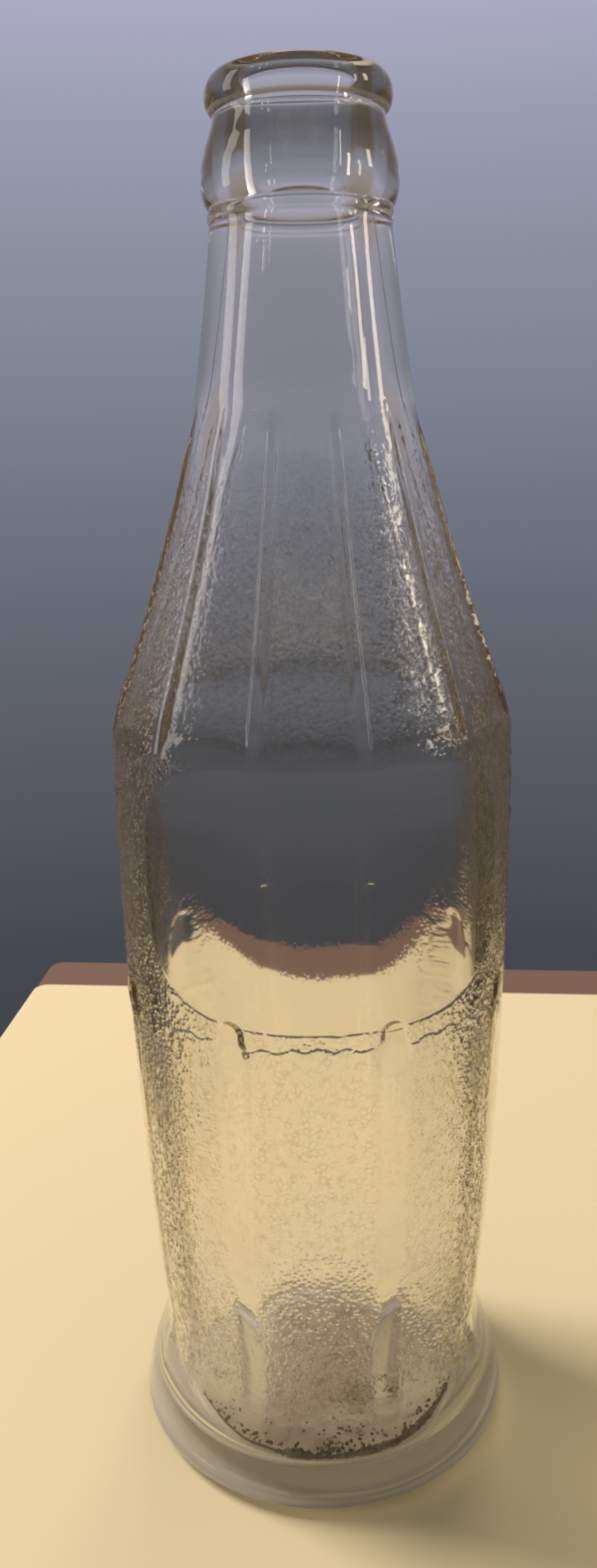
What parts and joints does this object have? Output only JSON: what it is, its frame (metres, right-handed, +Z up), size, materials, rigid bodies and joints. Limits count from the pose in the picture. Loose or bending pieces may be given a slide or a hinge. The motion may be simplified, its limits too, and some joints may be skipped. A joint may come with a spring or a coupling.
{
  "type": "soda bottle",
  "caption": "Empty clear glass soda bottle with a crown finish, fluted cone shoulder, plain band, ribbed lower body and flared foot, with a dried deposit inside.",
  "frame": {"origin": "centre of the foot, on the surface that the bottle stands on", "axes": "+Z up along the bottle's axis, towards the mouth; the front panel, which faces the picture's camera, is towards -Y"},
  "size_m": [0.0646, 0.0646, 0.2165],
  "materials": {
    "straw_glass": "clear soda-lime glass with a faint straw tint, smooth at the neck, band and foot, stippled on the panels",
    "dried_film": "thin, brown, matt dried film",
    "dark_crust": "dark brown crumbly crust"
  },
  "bodies": {
    "root": {"glass_bottle": "straw_glass", "floor_film": "dried_film", "heel_crust": "dark_crust"}
  },
  "joints": []
}
